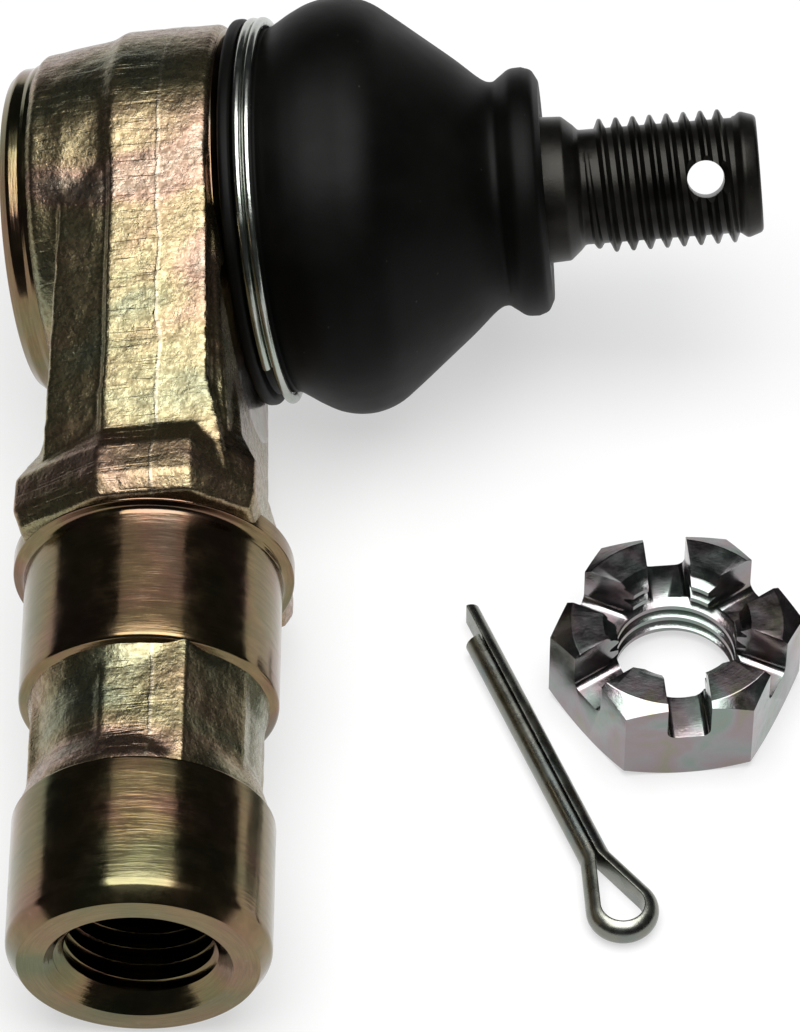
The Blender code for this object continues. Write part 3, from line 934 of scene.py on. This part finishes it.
def lip_ring():
    outline = rounded([(6.95, 32.1, 0.1), (8.3, 32.1, 0.1), (8.3, 30.7, 0.1), (6.95, 30.7, 0.1)], closed=True)
    ring = turned("lip_ring", outline, STUD, [plain_steel("ring_steel", (0.30, 0.30, 0.31))])
    settle(shade(ring), "lip", "ring_steel", "boot_lip_ring")


dust_boot()
clamp_wire()
lip_ring()

# ---- Castle nut, lying on its face ----
NUT_TURN, NUT_AF, NUT_H = 5.2, 19.0, 9.0  # turn in degrees, width across the flats, height
NUT_SLOT_W, NUT_SLOT_DEPTH, NUT_TOP_R, NUT_FOOT_R = 3.75, 4.05, 9.15, 9.5
NUT_THREAD_R, NUT_BEVEL = 6.05, 0.14
SLOT_LENGTH, SLOT_CORNER = 28.0, 0.8  # the cutter's length, and the rounding of a slot's floor


def castle_nut():
    tints = [
        (0.28, (0.23, 0.22, 0.165)),
        (0.42, (0.26, 0.215, 0.225)),
        (0.55, (0.25, 0.25, 0.25)),
        (0.68, (0.20, 0.25, 0.22)),
        (0.80, (0.26, 0.22, 0.18)),
    ]
    low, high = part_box("castle_nut")
    place = Matrix.Translation(((low.x + high.x) / 2, (low.y + high.y) / 2, low.z))
    place = place @ Matrix.Rotation(radians(NUT_TURN), 4, "Z")
    plate = [zinc("nut_zinc", tints, 0.12, place, marks_mm=0.004)]
    bm = bmesh.new()
    bmesh.ops.create_cone(
        bm,
        cap_ends=True,
        segments=6,
        radius1=NUT_AF / sqrt(3),
        radius2=NUT_AF / sqrt(3),
        depth=NUT_H,
        matrix=Matrix.Translation((0, 0, NUT_H / 2)) @ Matrix.Rotation(radians(30), 4, "Z"),
    )
    nut = solid("nut_steel", bm, place, plate)
    far = NUT_AF / sqrt(3) + 2.0
    slope = tan(radians(30))
    envelope = rounded(
        [
            (0, NUT_H - 0.01),
            (NUT_TOP_R, NUT_H - 0.01, 0.3),
            (far, NUT_H - (far - NUT_TOP_R) * slope),
            (far, (far - NUT_FOOT_R) * slope),
            (NUT_FOOT_R, 0.01, 0.2),
            (0, 0.01),
        ]
    )
    steps = [("INTERSECT", turned("nut_envelope", envelope, place, plate, steps=144))]
    for i in range(3):
        slot = bmesh.new()
        bmesh.ops.create_cube(slot, size=1.0)
        bmesh.ops.scale(slot, vec=(SLOT_LENGTH, NUT_SLOT_W, NUT_SLOT_DEPTH + 1.0), verts=slot.verts)
        bmesh.ops.translate(slot, vec=(0, 0, NUT_H + (1.0 - NUT_SLOT_DEPTH) / 2), verts=slot.verts)
        floor_edges = [e for e in slot.edges if all(v.co.z < NUT_H for v in e.verts)]
        feet = [e for e in floor_edges if abs(e.calc_length() - SLOT_LENGTH) < 0.1]
        bmesh.ops.bevel(slot, geom=feet, offset=SLOT_CORNER, segments=6, profile=0.5, affect="EDGES")
        turn = Matrix.Rotation(radians(30 + 60 * i), 4, "Z")
        steps.append(("DIFFERENCE", solid(f"nut_slot_{i + 1}", slot, place @ turn, plate)))
    carve(nut, steps)
    edges = nut.modifiers.new("edges", "BEVEL")
    edges.width, edges.segments = NUT_BEVEL * MM, 3
    edges.limit_method, edges.angle_limit = "ANGLE", radians(65)
    evaluated(nut)
    minor_r = NUT_THREAD_R - 0.05 - 0.54 * THREAD_PITCH
    bore = [
        (0, NUT_H + 1.0),
        (7.4, NUT_H + 1.0),
        (minor_r, NUT_H - 1.2),
        (minor_r, 1.2),
        (7.4, -1.0),
        (0, -1.0),
    ]
    groove = thread_bmesh(minor_r - 0.25, NUT_THREAD_R, -1.2, NUT_H + 1.2, THREAD_PITCH)
    carve(
        nut,
        [
            ("DIFFERENCE", turned("nut_bore", bore, place, plate, steps=144)),
            ("DIFFERENCE", solid("nut_groove", groove, place, plate)),
        ],
    )
    settle(shade(nut, 30), "nut", "bright_zinc", "castle_nut")


castle_nut()

# ---- Cotter pin: one half-round wire folded round its eye ----
PIN_D, PIN_LEG, PIN_SHORTER = 2.5, 29.4, 3.4
PIN_AT, PIN_TURN = (19.10, -34.91), 112.1
PIN_EYE_R, PIN_NECK, PIN_SPLIT = 1.85, 5.2, 0.08  # eye's inside, where the legs meet, half their split
PIN_EDGE = 0.12  # rounding of the wire's two edges


def pin_path(count=64):
    """(x, y, heading) of the wire's inner face, from the short leg's tip round to the long leg's."""
    tangent = acos(PIN_EYE_R / sqrt(PIN_NECK**2 + PIN_SPLIT**2)) + atan2(PIN_SPLIT, PIN_NECK)
    legs = []
    for side in (1, -1):
        long = PIN_LEG - (PIN_SHORTER if side > 0 else 0.0)
        bend = ((long, 0.0, 0.0), (1.9, 0.0, 0.0), (1.1, 0.01, 0.04), (0.4, 0.04, 0.14))
        legs.append([(PIN_NECK + along, (PIN_SPLIT + out) * side, turn) for along, out, turn in bend])
    points = [(x, y, pi - turn) for x, y, turn in legs[0]]
    for i in range(count + 1):
        t = tangent + (2 * pi - 2 * tangent) * i / count
        points.append((PIN_EYE_R * cos(t), PIN_EYE_R * sin(t), t + pi / 2))
    return points + [(x, y, turn) for x, y, turn in reversed(legs[1])]


def cotter_pin():
    tints = [(0.30, (0.16, 0.18, 0.15)), (0.5, (0.21, 0.21, 0.18)), (0.72, (0.17, 0.195, 0.185))]
    radius = PIN_D / 2
    place = Matrix.Translation((PIN_AT[0] * MM, PIN_AT[1] * MM, radius * MM))
    place = place @ Matrix.Rotation(radians(PIN_TURN), 4, "Z")
    back = [(radius * cos(radians(t)), radius * sin(radians(t))) for t in range(-80, 81, 8)]
    outline = rounded([(0.0, -radius, PIN_EDGE), *back, (0.0, radius, PIN_EDGE)], closed=True, arc=4)
    rings = []
    for x, y, heading in pin_path():
        outward = Vector((sin(heading), -cos(heading), 0))
        rings.append([Vector((x, y, z)) + outward * w for w, z in outline])
    pin = solid("pin_wire", swept_bmesh(rings), place, [zinc("pin_zinc", tints, 0.2, place, dull=0.2)])
    settle(shade(pin, 40), "pin", "pin_zinc", "cotter_pin")


cotter_pin()


# ---- Floor, light and camera ----
FLOOR_SIZE, PAPER_GREY, PAPER_GLOW, WORLD_GLOW = 3000.0, 0.30, 0.58, 0.03
LAMP_HEIGHT, LAMP_WIDTH = 0.8, 0.78
LAMPS = (  # name, back and front edge, energy: a softbox overhead and the dim rims of its diffuser
    ("softbox", 0.31, -0.46, 11.6),
    ("back_rim", 0.56, 0.31, 0.33),
    ("front_rim", -0.46, -0.68, 0.28),
)


def studio():
    bm = bmesh.new()
    bmesh.ops.create_grid(bm, x_segments=2, y_segments=2, size=FLOOR_SIZE)
    paper = Look("paper", metallic=0.0)
    paper.shader.inputs["Emission Color"].default_value = (1.0, 1.0, 1.0, 1.0)
    paper.shader.inputs["Emission Strength"].default_value = PAPER_GLOW
    floor = solid("floor", bm, Matrix.Identity(4), [paper.finish((PAPER_GREY, PAPER_GREY, PAPER_GREY), 0.9)])
    for name, back, front, energy in LAMPS:
        light = bpy.data.lights.new(name, "AREA")
        light.shape, light.size, light.size_y, light.energy = "RECTANGLE", LAMP_WIDTH, back - front, energy
        lamp = bpy.data.objects.new(name, light)
        lamp.location = (0.0, (back + front) / 2, LAMP_HEIGHT)
        bpy.context.scene.collection.objects.link(lamp)
    world = bpy.data.worlds.new("studio")
    world.use_nodes = True
    world.node_tree.nodes["Background"].inputs["Color"].default_value = (0.9, 0.95, 1.0, 1.0)
    world.node_tree.nodes["Background"].inputs["Strength"].default_value = WORLD_GLOW
    scene = bpy.context.scene
    scene.world = world
    scene.view_settings.view_transform = "Standard"
    elevation = radians(CAMERA_ELEVATION)
    lens = bpy.data.cameras.new("camera")
    lens.sensor_width, lens.lens, lens.clip_start = CAMERA_SENSOR, CAMERA_LENS, 0.01
    camera = bpy.data.objects.new("camera", lens)
    away = Vector((0, -cos(elevation), sin(elevation))) * CAMERA_DISTANCE
    camera.location = away + Vector(CAMERA_TARGET)
    camera.rotation_euler = (pi / 2 - elevation, 0, 0)
    scene.collection.objects.link(camera)
    scene.camera = camera


studio()
